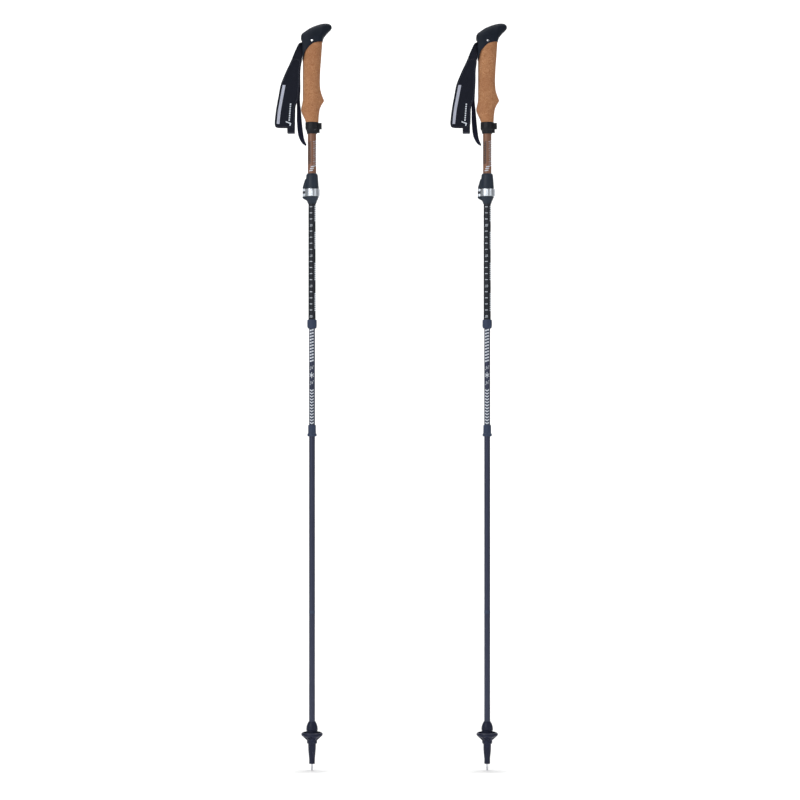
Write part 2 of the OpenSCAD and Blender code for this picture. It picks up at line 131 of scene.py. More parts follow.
class Look:
    """A Principled material with short ways to add the nodes that its detail needs."""

    def __init__(self, name, colour, roughness, metallic=0.0, **sockets):
        self.material = bpy.data.materials.new(name)
        self.material.use_nodes = True
        self.material.diffuse_color = (*colour, 1)
        self.tree = self.material.node_tree
        self.shader = self.tree.nodes["Principled BSDF"]
        sockets.update(Base_Color=(*colour, 1), Roughness=roughness, Metallic=metallic)
        for socket, value in sockets.items():
            self.shader.inputs[socket.replace("_", " ")].default_value = value
        self.place = self.node("ShaderNodeTexCoord").outputs["Object"]

    def node(self, kind, **settings):
        node = self.tree.nodes.new(kind)
        for name, value in settings.items():
            if name in node.inputs:
                node.inputs[name].default_value = value
            else:
                setattr(node, name, value)
        return node

    def link(self, output, target):
        self.tree.links.new(output, target)

    def use_uv(self):
        """Takes the piece's own UV map, 1 unit a millimetre, in place of object coordinates."""
        self.place = self.node("ShaderNodeUVMap", uv_map=WEAVE_MAP).outputs["UV"]

    def noise(self, scale, detail=3.0, stretch=None):
        """Noise, with its coordinates scaled by stretch on each axis."""
        node = self.node("ShaderNodeTexNoise", Scale=scale, Detail=detail)
        place = self.place
        if stretch:
            mapping = self.node("ShaderNodeMapping", Scale=stretch)
            self.link(place, mapping.inputs["Vector"])
            place = mapping.outputs["Vector"]
        self.link(place, node.inputs["Vector"])
        return node.outputs["Fac"]

    def cells(self, scale, feature="F1"):
        node = self.node("ShaderNodeTexVoronoi", feature=feature, Scale=scale)
        self.link(self.place, node.inputs["Vector"])
        return node.outputs["Distance"]

    def bands(self, scale, direction):
        node = self.node("ShaderNodeTexWave", Scale=scale, bands_direction=direction)
        self.link(self.place, node.inputs["Vector"])
        return node.outputs["Fac"]

    def math(self, operation, a, b=0.0):
        node = self.node("ShaderNodeMath", operation=operation)
        for value, socket in zip((a, b), node.inputs):
            if isinstance(value, (int, float)):
                socket.default_value = value
            else:
                self.link(value, socket)
        return node.outputs[0]

    def span(self, value, low, high, to_low=0.0, to_high=1.0):
        """value, stretched so that low..high becomes to_low..to_high, and held there."""
        node = self.node("ShaderNodeMapRange")
        for name, number in zip(("From Min", "From Max", "To Min", "To Max"),
                                (low, high, to_low, to_high)):
            node.inputs[name].default_value = number
        self.link(value, node.inputs["Value"])
        return node.outputs["Result"]

    def tint(self, colour, amount):
        """Mixes the colour so far with another one, where amount is 1."""
        base = self.shader.inputs["Base Color"]
        mix = self.node("ShaderNodeMix", data_type="RGBA")
        if base.is_linked:
            self.link(base.links[0].from_socket, mix.inputs[6])
        else:
            mix.inputs[6].default_value = base.default_value
        mix.inputs[7].default_value = (*colour, 1)
        self.link(amount, mix.inputs[0])
        self.link(mix.outputs[2], base)

    def rough(self, value, low, high):
        self.link(self.span(value, 0.3, 0.7, low, high), self.shader.inputs["Roughness"])

    def bump(self, height, distance):
        """Adds relief of that many metres."""
        node = self.node("ShaderNodeBump", Strength=1.0, Distance=distance)
        self.link(height, node.inputs["Height"])
        normal = self.shader.inputs["Normal"]
        if normal.is_linked:
            self.link(normal.links[0].from_socket, node.inputs["Normal"])
        self.link(node.outputs["Normal"], normal)


def shade(colour, factor):
    return tuple(c * factor for c in colour)


def make_cork():
    """Pressed cork: granules about 2 mm across, each its own brown, with seams and dark flecks."""
    granules = 520.0
    look = Look("cork", (0.44, 0.205, 0.095), 0.78, Specular_IOR_Level=0.25)
    grain = look.node("ShaderNodeTexVoronoi", Scale=granules, Randomness=1.0)
    wander = look.node("ShaderNodeTexNoise", Scale=260.0, Detail=2.0)
    look.link(look.place, wander.inputs["Vector"])
    bent = look.node("ShaderNodeMix", data_type="VECTOR")
    bent.inputs[0].default_value = 0.012
    look.link(look.place, bent.inputs[4])
    look.link(wander.outputs["Color"], bent.inputs[5])
    look.link(bent.outputs[1], grain.inputs["Vector"])
    each = look.node("ShaderNodeSeparateColor")
    look.link(grain.outputs["Color"], each.inputs["Color"])
    look.tint((0.54, 0.275, 0.135), look.span(each.outputs[0], 0.35, 0.9, 0, 0.9))
    look.tint((0.33, 0.135, 0.058), look.span(each.outputs[1], 0.66, 0.95, 0, 0.7))
    look.tint((0.36, 0.15, 0.07), look.span(look.noise(28.0, 3.0), 0.42, 0.68, 0, 0.55))
    flecks = look.span(look.noise(760.0, 2.0), 0.66, 0.74)
    look.tint((0.085, 0.035, 0.018), look.math("MULTIPLY", flecks, 0.8))
    seams = look.node("ShaderNodeTexVoronoi", feature="DISTANCE_TO_EDGE", Scale=granules)
    look.link(bent.outputs[1], seams.inputs["Vector"])
    look.tint((0.30, 0.125, 0.055), look.span(seams.outputs["Distance"], 0.07, 0.0, 0, 0.45))
    look.rough(look.noise(90.0), 0.68, 0.88)
    look.bump(look.span(seams.outputs["Distance"], 0.0, 0.12), 0.00012)
    look.bump(look.math("SUBTRACT", 1.0, flecks), 0.00016)
    return look.material


def make_rubber():
    look = Look("head_rubber", (0.006, 0.01, 0.018), 0.56, Specular_IOR_Level=0.16)
    look.tint((0.01, 0.014, 0.025), look.span(look.noise(45.0, 4.0), 0.45, 0.75, 0, 0.8))
    look.rough(look.noise(60.0), 0.5, 0.66)
    look.bump(look.noise(2600.0, 2.0), 0.00006)
    return look.material


def make_moulded(name, colour, roughness, grain=0.00005, wear=0.5):
    """Injection-moulded plastic: a fine spark-eroded grain, and paler scuffs."""
    look = Look(name, colour, roughness, Specular_IOR_Level=0.2)
    scuffs = look.span(look.noise(70.0, 6.0), 0.58, 0.78, 0, wear)
    look.tint(shade(colour, 2.1), scuffs)
    look.rough(look.noise(120.0, 4.0), roughness - 0.07, roughness + 0.09)
    look.bump(look.noise(2200.0, 1.0), grain)
    return look.material


def make_painted(name, colour, roughness, metallic=0.55):
    """Satin coat on a drawn tube: faint lines along it, dust-fine orange peel, light scratches."""
    look = Look(name, colour, roughness, metallic, Coat_Weight=0.25, Coat_Roughness=0.22)
    lines = look.noise(900.0, 2.0, stretch=(1, 1, 0.02))
    look.tint(shade(colour, 1.6), look.span(lines, 0.45, 0.8, 0, 0.35))
    scratches = look.span(look.noise(1500.0, 2.0, stretch=(1, 1, 0.06)), 0.74, 0.8, 0, 0.5)
    look.tint(shade(colour, 3.2), scratches)
    look.rough(look.noise(38.0, 4.0), roughness - 0.05, roughness + 0.08)
    look.bump(look.noise(700.0, 2.0), 0.000015)
    return look.material


def make_metal(name, colour, roughness, stretch):
    """Bare metal with the fine lines that its brushing or turning leaves."""
    look = Look(name, colour, roughness, 1.0)
    lines = look.noise(900.0, 3.0, stretch=stretch)
    look.tint(shade(colour, 0.62), look.span(lines, 0.35, 0.75, 0, 0.25))
    look.rough(lines, roughness - 0.06, roughness + 0.12)
    look.bump(lines, 0.00002)
    return look.material


def make_webbing(name, colour, pitch=0.55):
    """Flat webbing: a twill of ribs across and along, with a fuzz of loose fibres."""
    look = Look(name, colour, 0.82, Specular_IOR_Level=0.15, Sheen_Weight=0.2,
                Sheen_Roughness=0.45, Sheen_Tint=(0.4, 0.45, 0.6, 1))
    look.use_uv()
    across = look.bands(0.31 / pitch, "X")
    along = look.bands(0.31 / pitch, "Y")
    twill = look.bands(0.22 / pitch, "DIAGONAL")
    weave = look.math("MULTIPLY", look.math("ADD", across, along), twill)
    look.tint(shade(colour, 2.6), look.span(weave, 0.2, 1.5, 0, 0.75))
    look.tint(shade(colour, 0.5), look.span(look.noise(0.25, 4.0), 0.5, 0.7, 0, 0.6))
    look.bump(look.math("MULTIPLY", weave, 0.5), 0.0002)
    look.bump(look.noise(9.0, 2.0), 0.00005)
    return look.material


def make_knit(name, colour):
    """Close knit face of the pad: offset loops about half a millimetre across."""
    look = Look(name, colour, 0.88, Specular_IOR_Level=0.1, Sheen_Weight=0.16,
                Sheen_Roughness=0.5, Sheen_Tint=(0.4, 0.45, 0.6, 1))
    loops = look.cells(1500.0)
    look.tint(shade(colour, 2.3), look.span(loops, 0.25, 0.75, 0, 0.7))
    look.tint(shade(colour, 1.5), look.span(look.noise(60.0, 4.0), 0.45, 0.7, 0, 0.6))
    look.bump(look.math("SUBTRACT", 1.0, loops), 0.00018)
    look.bump(look.noise(240.0, 2.0), 0.00025)
    return look.material


def make_print(name, colour, roughness=0.45):
    """Screen-printed ink, a little worn."""
    look = Look(name, colour, roughness, Specular_IOR_Level=0.4)
    look.tint(shade(colour, 0.72), look.span(look.noise(420.0, 3.0), 0.56, 0.72, 0, 0.7))
    look.bump(look.noise(1500.0, 1.0), 0.00002)
    return look.material


def make_reflective():
    """Glass-bead tape: silver grey, with a fine honeycomb."""
    look = Look("reflective_tape", (0.42, 0.44, 0.53), 0.34, 0.35)
    comb = look.cells(2600.0, feature="DISTANCE_TO_EDGE")
    look.tint((0.23, 0.24, 0.3), look.span(comb, 0.06, 0.0, 0, 0.8))
    look.bump(look.span(comb, 0.0, 0.1), 0.00006)
    return look.material


paper = Look("studio_paper", (0.93, 0.93, 0.93), 0.9, Specular_IOR_Level=0.1).material
cork = make_cork()
rubber = make_rubber()
navy = (0.026, 0.032, 0.066)
collar_plastic = make_moulded("black_plastic", (0.01, 0.011, 0.014), 0.42)
lock_plastic = make_moulded("lock_plastic", (0.02, 0.029, 0.044), 0.44)
nylon = make_moulded("nylon", (0.62, 0.62, 0.57), 0.5)
tip_plastic = make_moulded("tip_plastic", (0.009, 0.012, 0.031), 0.4, wear=0.7)
ferrule_coat = make_moulded("ferrule_finish", (0.034, 0.048, 0.09), 0.4, grain=0.00003)
tan_tube = make_painted("handle_tube_finish", (0.19, 0.082, 0.044), 0.42, 0.2)
shaft_coat = make_painted("shaft_finish", navy, 0.4)
upper_coat = make_painted("upper_shaft_finish", (0.006, 0.009, 0.016), 0.42)
lever_metal = make_metal("lever_metal", (0.66, 0.71, 0.77), 0.3, (1, 1, 14))
steel = make_metal("steel", (0.74, 0.75, 0.77), 0.24, (1, 12, 1))
dark_steel = make_metal("dark_steel", (0.05, 0.053, 0.066), 0.4, (6, 6, 1))
guide_metal = make_metal("guide_metal", (0.72, 0.73, 0.75), 0.32, (1, 1, 10))
carbide = make_metal("carbide", (0.66, 0.67, 0.7), 0.28, (1, 1, 12))
cord_jacket = make_moulded("cord_jacket", (0.42, 0.045, 0.03), 0.3, wear=0.2)
webbing = make_webbing("strap_webbing", (0.008, 0.009, 0.016))
tail_webbing = make_webbing("tail_webbing", (0.012, 0.013, 0.03))
binding_cloth = make_webbing("binding_tape", (0.009, 0.01, 0.017), 0.35)
knit = make_knit("strap_padding", (0.007, 0.008, 0.013))
thread = make_print("thread", (0.05, 0.055, 0.075), 0.7)
reflective = make_reflective()
white_ink = make_print("white_ink", (0.62, 0.67, 0.74))
dark_ink = make_print("dark_ink", (0.022, 0.017, 0.018))

# The look that each kind of CAD node gets, by the record's slot
SLOT_LOOKS = {
    "head_rubber": rubber, "cork": cork, "black_plastic": collar_plastic,
    "handle_tube_finish": tan_tube, "steel": steel, "dark_steel": dark_steel,
    "lock_plastic": lock_plastic, "lever_metal": lever_metal, "nylon": nylon,
    "shaft_finish": shaft_coat, "ferrule_finish": ferrule_coat, "guide_metal": guide_metal,
    "cord_jacket": cord_jacket, "tip_plastic": tip_plastic, "carbide": carbide,
    "strap_webbing": webbing, "strap_padding": knit,
}

make_camera()
make_studio()


# ------------------------------------------------------------------ mesh helpers

class Pole:
    """One pole: its side, its axis and the heights of its main pieces, in millimetres."""

    def __init__(self, side):
        self.side = side
        low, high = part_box(side + "upper_shaft")
        self.axis = (low.x + high.x) / 2 / MM
        self.upper_r = (high.x - low.x) / 2 / MM
        self.shaft = low.z / MM
        self.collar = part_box(side + "grip_collar")[0].z / MM
        self.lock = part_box(side + "lock_housing")[0].z / MM
        handle_low, handle_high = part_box(side + "handle_tube")
        self.handle_r = (handle_high.x - handle_low.x) / 2 / MM
        tube_low, tube_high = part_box(side + "lower_tube")
        self.lower_r = (tube_high.x - tube_low.x) / 2 / MM
        self.joint1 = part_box(side + "ferrule_1")[0].z / MM
        self.joint2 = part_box(side + "ferrule_2")[0].z / MM
        self.joint3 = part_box(side + "joint_ring")[0].z / MM

    def world(self, point):
        return (Vector(point) + Vector((self.axis, 0, 0))) * MM

    def handle_point(self, x, y, height):
        return self.world((x, y, height + self.collar))

    def add(self, name, points, faces, look, uv=None):
        """A mesh piece from points on this pole, in millimetres. uv gives each point's place."""
        mesh = bpy.data.meshes.new(self.side + name)
        mesh.from_pydata([self.world(p) for p in points], [], faces)
        if uv is not None:
            layer = mesh.uv_layers.new(name=WEAVE_MAP)
            for loop in mesh.loops:
                layer.data[loop.index].uv = uv[loop.vertex_index]
        mesh.materials.append(look)
        outward(mesh)
        mesh.shade_smooth()
        return placed(self.side + name, mesh)

    def ride(self, piece, body, slot, *stands_for):
        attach(piece, self.side + body)
        self.finish(piece, slot, *stands_for)

    def finish(self, piece, slot, *stands_for):
        if stands_for:
            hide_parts(*[self.side + node for node in stands_for])


def outward(mesh):
    form = bmesh.new()
    form.from_mesh(mesh)
    bmesh.ops.recalc_face_normals(form, faces=form.faces)
    form.to_mesh(mesh)
    form.free()


def smooth_path(stations, steps, closed=False):
    """Catmull-Rom through stations, tuples of one length, with steps points a span."""
    s = [np.array(p, float) for p in stations]
    if closed:
        s = [s[-1]] + s + s[:2]
    else:
        s = [2 * s[0] - s[1]] + s + [2 * s[-1] - s[-2]]
    path = []
    for a, b, c, d in zip(s, s[1:], s[2:], s[3:]):
        for k in range(steps):
            t = k / steps
            path.append(0.5 * (2 * b + (c - a) * t + (2 * a - 5 * b + 4 * c - d) * t * t
                               + (3 * b - a - 3 * c + d) * t ** 3))
    if not closed:
        path.append(s[-2])
    return path


def skin(rings):
    """Faces over a stack of closed rings with the same number of points, and both ends."""
    n = len(rings[0])
    points = [tuple(p) for ring in rings for p in ring]
    faces = [(k * n + i, k * n + (i + 1) % n, (k + 1) * n + (i + 1) % n, (k + 1) * n + i)
             for k in range(len(rings) - 1) for i in range(n)]
    last = (len(rings) - 1) * n
    faces.append(tuple(reversed(range(n))))
    faces.append(tuple(range(last, last + n)))
    return points, faces


def add_skin(points, faces, rings):
    """Adds one more skin to a piece's points and faces."""
    more, skins = skin(rings)
    base = len(points)
    points += more
    faces += [tuple(base + i for i in face) for face in skins]


def oval(angle, half_a, half_b, power):
    """A point of a squarish oval."""
    c, s = math.cos(angle), math.sin(angle)
    return (half_a * math.copysign(abs(c) ** (2 / power), c),
            half_b * math.copysign(abs(s) ** (2 / power), s))


def applied(piece, *modifiers):
    """The piece's mesh with these modifiers, (type, settings) each, worked into it."""
    for kind, settings in modifiers:
        modifier = piece.modifiers.new(kind.lower(), kind)
        for name, value in settings.items():
            setattr(modifier, name, value)
    graph = bpy.context.evaluated_depsgraph_get()
    mesh = bpy.data.meshes.new_from_object(piece.evaluated_get(graph))
    piece.modifiers.clear()
    mesh.name = piece.data.name
    piece.data = mesh
    return piece


def carved(piece, cutter, operation="DIFFERENCE"):
    applied(piece, ("BOOLEAN", {"object": cutter, "operation": operation, "solver": "EXACT"}))
    bpy.data.objects.remove(cutter)
    return piece


def relaxed(piece, rounds):
    """Softens the mesh, without losing more than a little of its volume."""
    return applied(piece, ("SMOOTH", {"factor": 0.5, "iterations": rounds}))


def copied(name, source, shift=0.0):
    """A new piece with another one's mesh where it stands, moved along x by shift millimetres."""
    mesh = source.data.copy()
    mesh.transform(Matrix.Translation((shift * MM, 0, 0)) @ source.matrix_world)
    mesh.name = name
    return placed(name, mesh)


def block_of(pole, outline, y0, y1):
    """A cutter: an outline of (x, height) points on the handle, thick from y0 to y1."""
    n = len(outline)
    points = [(x, y, h + pole.collar) for y in (y0, y1) for x, h in outline]
    faces = [(i, (i + 1) % n, n + (i + 1) % n, n + i) for i in range(n)]
    faces += [tuple(range(n)), tuple(reversed(range(n, 2 * n)))]
    return pole.add("cutter", points, faces, None)


def rod_cutter(pole, start, end, radius, sides=32):
    """A cutter: a round rod between two points on the handle, given as (x, y, height)."""
    a, b = Vector(start), Vector(end)
    along = (b - a).normalized()
    u = along.orthogonal().normalized()
    v = along.cross(u)
    rings = []
    for end_point in (a, b):
        rings.append([end_point + radius * (u * math.cos(t) + v * math.sin(t))
                      + Vector((0, 0, pole.collar))
                      for t in (2 * math.pi * i / sides for i in range(sides))])
    points, faces = skin(rings)
    return pole.add("cutter", points, faces, None)


# ------------------------------------------------------------------ grip and head

# (height, rear x, front x, half width, height of the finger ridge on the front)
GRIP_SECTIONS = [
    (19, -10.4, 10.6, 10.2, 0), (23, -11.6, 10.9, 10.6, 0), (28, -13.9, 11.2, 11.2, 0),
    (33, -16.3, 11.6, 11.9, 0.1), (38.5, -18.1, 12.0, 12.4, 0.4), (43, -17.7, 12.3, 12.6, 1.3),
    (48, -16.5, 12.5, 12.6, 3.5), (51.5, -15.8, 12.7, 12.5, 5.6), (54.3, -15.4, 12.8, 12.4, 6.9),
    (57, -15.2, 12.8, 12.3, 6.3), (60.5, -15.1, 12.8, 12.2, 4.9), (64.5, -15.1, 12.8, 12.1, 3.4),
    (69, -15.1, 12.8, 12.0, 2.0), (76, -15.1, 12.8, 12.0, 0.8), (86, -15.1, 13.0, 12.2, 0.1),
    (102, -15.1, 13.6, 12.6, 0), (112, -15.1, 14.2, 13.0, 0), (122, -15.2, 15.0, 13.2, 0),
    (135, -15.3, 15.9, 13.4, 0), (147, -15.3, 16.7, 13.5, 0), (156, -15.3, 17.0, 13.5, 0),
]

# (x, lowest height, highest height, half width) along the head, from its rear to the beak
HEAD_SECTIONS = [
    (-18.4, 156.4, 160, 2.4), (-18.2, 155.0, 161.6, 4.8), (-17.6, 153.3, 163.2, 7.6),
    (-16.6, 151.4, 164.8, 10.0), (-16.1, 146, 165.4, 10.8), (-15.8, 130, 165.9, 11.2),
    (-15.4, 113, 166.4, 11.6), (-13.6, 110, 167.6, 12.5), (-9, 110, 170.8, 13.8),
    (-4, 110, 174.1, 14.2), (2, 112, 176.9, 14.3), (8, 114, 179.2, 14.0),
    (12.5, 122, 180.5, 13.4), (16.0, 143, 181.3, 12.5), (18.6, 156.0, 181.8, 11.6),
    (22, 161.6, 182.0, 10.3), (26, 166.2, 181.8, 8.7), (29.5, 169.6, 180.6, 6.9),
    (31.7, 172.4, 178.6, 4.6), (32.6, 174.3, 176.8, 2.4),
]

# Edge between the cap and the cork, from the front down to the tail, as (x, height)
CAP_EDGE = [
    (26, 152.6), (18, 151.6), (10.9, 150.8), (2.1, 148.0), (-4.6, 142.6), (-10.9, 135.0),
    (-13.3, 127.8), (-14.4, 122.4), (-17.6, 119.4),
]
PIN_RADIUS = 1.6
PIN_BORE = 1.75
COLLAR_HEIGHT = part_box("left_grip_collar")[0].z / MM
STRAP_PIN = (0.3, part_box("left_roll_pins")[1].z / MM - PIN_RADIUS - COLLAR_HEIGHT)

# The strap's slot through the head: its slope, and half its opening and half its width
SLOT_SLOPE = math.radians(18)
SLOT_HALF_OPENING = 3.6
SLOT_HALF_WIDTH = 10.5

# How far the handle tube reaches up into the grip, and half of a cut through the handle
TUBE_IN_GRIP = 136
CUT_HALF = 30


def cap_outline(drop):
    """The cap's side of the border, moved down by drop, closed round above the head."""
    edge = [(x, h - drop) for x, h in smooth_path(CAP_EDGE, 8)]
    return edge + [(-40, 119 - drop), (-40, 200), (40, 200), (40, 153 - drop)]


def along_slot(distance, offset=0.0):
    """(x, height) in the strap's slot: distance out from the pin, offset across the slot."""
    c, s = math.cos(SLOT_SLOPE), math.sin(SLOT_SLOPE)
    return (STRAP_PIN[0] - distance * c - offset * s, STRAP_PIN[1] - distance * s + offset * c)


def make_grip(pole):
    rings = []
    for height, rear, front, half, ridge in smooth_path(GRIP_SECTIONS, 6):
        middle, reach = (rear + front) / 2, (front - rear) / 2
        ring = []
        for k in range(72):
            a = 2 * math.pi * k / 72
            x, y = oval(a, reach, half, 2.25)
            turn = min(a, 2 * math.pi - a)
            swell = ridge * math.exp(-(turn / 0.95) ** 2)
            ring.append((middle + x + swell, y, height + pole.collar))
        rings.append(ring)
    points, faces = skin(rings)
    grip = pole.add("grip_cork", points, faces, cork)
    carved(grip, block_of(pole, cap_outline(0), -CUT_HALF, CUT_HALF))
    carved(grip, rod_cutter(pole, (0, 0, 0), (0, 0, TUBE_IN_GRIP), pole.handle_r, 48))
    grip.data.shade_smooth()
    sharpen(grip, 35)
    pole.ride(grip, "handle", "cork", "cork_grip")


def make_head(pole):
    rings = []
    for x, low, high, half in smooth_path(HEAD_SECTIONS, 6):
        ring = []
        for k in range(64):
            y, h = oval(2 * math.pi * k / 64, half, (high - low) / 2, 2.5)
            ring.append((x, y, (low + high) / 2 + h + pole.collar))
        rings.append(ring)
    points, faces = skin(rings)
    head = pole.add("head_rubber", points, faces, rubber)
    carved(head, block_of(pole, cap_outline(0.15), -CUT_HALF, CUT_HALF), "INTERSECT")
    low, high = -SLOT_HALF_OPENING, SLOT_HALF_OPENING
    corners = [along_slot(30, low), along_slot(30, high), along_slot(low, high),
               along_slot(low, low)]
    carved(head, block_of(pole, corners, -SLOT_HALF_WIDTH, SLOT_HALF_WIDTH))
    x, h = STRAP_PIN
    carved(head, rod_cutter(pole, (x, -20, h), (x, 20, h), PIN_BORE))
    applied(head, ("REMESH", {"mode": "VOXEL", "voxel_size": 0.55 * MM}))
    relaxed(head, 4)
    head.data.shade_smooth()
    pole.ride(head, "handle", "head_rubber", "head_cap")


def sharpen(piece, degrees):
    """Keeps edges over that angle crisp in a smooth-shaded mesh."""
    limit = math.radians(degrees)
    form = bmesh.new()
    form.from_mesh(piece.data)
    for edge in form.edges:
        if len(edge.link_faces) == 2 and edge.calc_face_angle() > limit:
            edge.smooth = False
    form.to_mesh(piece.data)
    form.free()


# ------------------------------------------------------------------ strap

def slot_edges(distance, offset):
    """Both edges of webbing that lies flat in the head's slot."""
    x, h = along_slot(distance, offset)
    return ((x, -9.8, h), (x, 9.8, h))


# Each strip of webbing is a list of (left edge, right edge), both (x, y, height) on the handle
FRONT_STRIP = [
    slot_edges(1, 2.7), slot_edges(9, 2.6), slot_edges(16, 2.4),
    ((-21.0, -11.4, 147.6), (-16.3, -1.0, 143.0)),
    ((-25.6, -12.4, 139.0), (-16.1, -7.5, 136.5)),
    ((-29.6, -12.6, 130.0), (-16.2, -10.4, 128.5)),
    ((-33.2, -12.3, 121.0), (-17.0, -11.6, 121.0)),
    ((-37.0, -12.2, 112.0), (-20.5, -11.9, 112.0)),
]
REAR_STRIP = [
    slot_edges(1, -2.3), slot_edges(9, -2.2), slot_edges(16, -2.0),
    ((-19.6, -6.0, 140.5), (-16.7, 9.6, 140.5)),
    ((-22.6, 2.0, 133.5), (-16.6, 9.7, 133.5)),
    ((-27.2, 7.4, 127.0), (-16.9, 9.2, 127.0)),
    ((-31.2, 8.6, 121.0), (-19.0, 8.9, 121.0)),
    ((-35.5, 8.8, 96.0), (-22.2, 8.9, 96.0)),
    ((-39.6, 8.8, 58.0), (-27.0, 8.9, 58.0)),
    ((-40.4, 8.8, 23.0), (-28.2, 8.9, 23.0)),
    ((-40.4, 8.7, 7.0), (-28.5, 8.7, 7.0)),
    ((-40.4, 6.4, 1.8), (-28.6, 6.4, 1.8)),
    ((-40.4, 0.0, 1.0), (-28.6, 0.0, 1.0)),
    ((-40.4, -7.0, 1.0), (-28.6, -7.0, 1.0)),
    ((-40.4, -11.4, 2.6), (-28.6, -11.4, 2.6)),
    ((-40.4, -12.2, 7.5), (-28.6, -12.2, 7.5)),
    ((-40.4, -12.0, 13.0), (-28.6, -12.0, 13.0)),
]
TAIL_STRIP = [
    slot_edges(5, -3.4), slot_edges(12, -3.3), slot_edges(17, -3.2),
    ((-18.6, -3.5, 138.0), (-16.7, 11.4, 138.0)),
    ((-20.4, 4.8, 130.0), (-16.8, 11.6, 130.0)),
    ((-23.6, 9.8, 122.0), (-17.2, 11.0, 122.0)),
    ((-25.2, 10.5, 104.0), (-19.5, 10.7, 104.0)),
    ((-25.6, 10.5, 76.0), (-19.5, 10.7, 76.0)),
    ((-25.6, 10.4, 56.0), (-20.2, 10.7, 56.0)),
    ((-25.5, 10.2, 38.0), (-18.5, 10.7, 38.0)),
    ((-25.3, 9.9, 20.0), (-17.0, 10.6, 20.0)),
    ((-23.5, 9.6, 1.0), (-15.0, 10.4, 2.0)),
    ((-20.4, 9.4, -8.5), (-13.6, 10.2, -6.4)),
    ((-16.0, 9.2, -15.2), (-11.6, 10.0, -12.0)),
    ((-10.6, 9.0, -19.0), (-9.4, 9.8, -16.8)),
]

# The pad's outline, (x, height)
PAD_OUTLINE = [
    (-32.6, 120.6), (-38.2, 110.2), (-43.4, 99.2), (-51, 80), (-54.8, 61), (-58.4, 41),
    (-60.6, 24), (-61.1, 15.8), (-59.9, 10.6), (-55.6, 8.4), (-45, 8), (-33, 8.3),
    (-28.8, 11.6), (-27.7, 20), (-26.6, 43), (-21.4, 58), (-19.6, 82), (-19.2, 102),
    (-17.6, 115.5), (-18.4, 121), (-25, 123),
]
# Its middle plane, its thickness before it swells, how far a face may swell, and the width of
# the rim that stays flat
PAD_Y = -11.9
PAD_FLAT = 2.4
PAD_SWELL = 1.1
PAD_RIM = 3.4
SWELL_STEPS = 20


def make_ribbon(pole, name, strip, thickness, look, steps=10, lanes=10):
    """Webbing along a strip: a flat band with rounded edges and a map for its weave."""
    path = smooth_path([(*left, *right) for left, right in strip], steps)
    left = [Vector(p[:3]) for p in path]
    right = [Vector(p[3:]) for p in path]
    middle = [(a + b) / 2 for a, b in zip(left, right)]
    rings, uv = [], []
    run = 0.0
    for k, (a, b) in enumerate(zip(left, right)):
        ahead = middle[min(k + 1, len(path) - 1)] - middle[max(k - 1, 0)]
        across = b - a
        normal = ahead.cross(across).normalized()
        if k:
            run += (middle[k] - middle[k - 1]).length
        ring = []
        for side in (1, -1):
            for lane in range(lanes + 1):
                t = lane / lanes if side == 1 else 1 - lane / lanes
                edge = min(t, 1 - t) * across.length
                half = thickness / 2 * min(1.0, 0.45 + 0.55 * edge / 0.7)
                ring.append(a + across * t + normal * half * side
                            + Vector((0, 0, pole.collar)))
                uv.append((t * across.length, run))
        rings.append(ring)
    points, faces = skin(rings)
    return pole.add(name, points, faces, look, uv)


def offset_outline(outline, inset):
    """The closed outline moved inwards, for a clockwise or counter-clockwise list alike."""
    points = [Vector(p) for p in outline]
    n = len(points)
    area = sum(points[i].x * points[(i + 1) % n].y - points[(i + 1) % n].x * points[i].y
               for i in range(n))
    moved = []
    for i, p in enumerate(points):
        along = (points[(i + 1) % n] - points[i - 1]).normalized()
        inward = Vector((-along.y, along.x)) * (1 if area > 0 else -1)
        moved.append(p + inward * inset)
    return moved


def flat_pad(pole):
    """The pad before it swells: a thin slab of its outline."""
    outline = offset_outline([tuple(p) for p in smooth_path(PAD_OUTLINE, 5, closed=True)], 0.9)
    slab = [(p.x, p.y) for p in outline]
    pad = block_of(pole, slab, PAD_Y - PAD_FLAT / 2, PAD_Y + PAD_FLAT / 2)
    pad.name = pad.data.name = pole.side + "padding"
    applied(pad, ("REMESH", {"mode": "VOXEL", "voxel_size": 1.1 * MM}))
    return relaxed(pad, 2)


def swell(pole, pad):
    """Blows the pad up as cloth held at its rim, and caps how far a point may go."""
    rim = [pole.handle_point(x, PAD_Y, h)
           for x, h in smooth_path(PAD_OUTLINE, 5, closed=True)]
    rest = [v.co.copy() for v in pad.data.vertices]
    held = pad.vertex_groups.new(name="rim")
    for vertex in pad.data.vertices:
        gap = min((vertex.co.xz - r.xz).length for r in rim) / MM
        if gap < PAD_RIM:
            held.add([vertex.index], 1.0, "REPLACE")
    cloth = pad.modifiers.new("swell", "CLOTH")
    cloth.settings.quality = 5
    cloth.settings.mass = 0.2
    cloth.settings.tension_stiffness = 12
    cloth.settings.compression_stiffness = 12
    cloth.settings.shear_stiffness = 6
    cloth.settings.bending_stiffness = 0.4
    cloth.settings.use_pressure = True
    cloth.settings.uniform_pressure_force = 5
    cloth.settings.vertex_group_mass = "rim"
    cloth.settings.effector_weights.gravity = 0
    cloth.collision_settings.use_collision = False
    scene = bpy.context.scene
    for step in range(1, SWELL_STEPS + 1):
        scene.frame_set(step)
    applied(pad)
    scene.frame_set(1)
    for vertex, start in zip(pad.data.vertices, rest):
        move = vertex.co - start
        if move.length > PAD_SWELL * MM:
            vertex.co = start + move.normalized() * PAD_SWELL * MM
    pad.vertex_groups.clear()


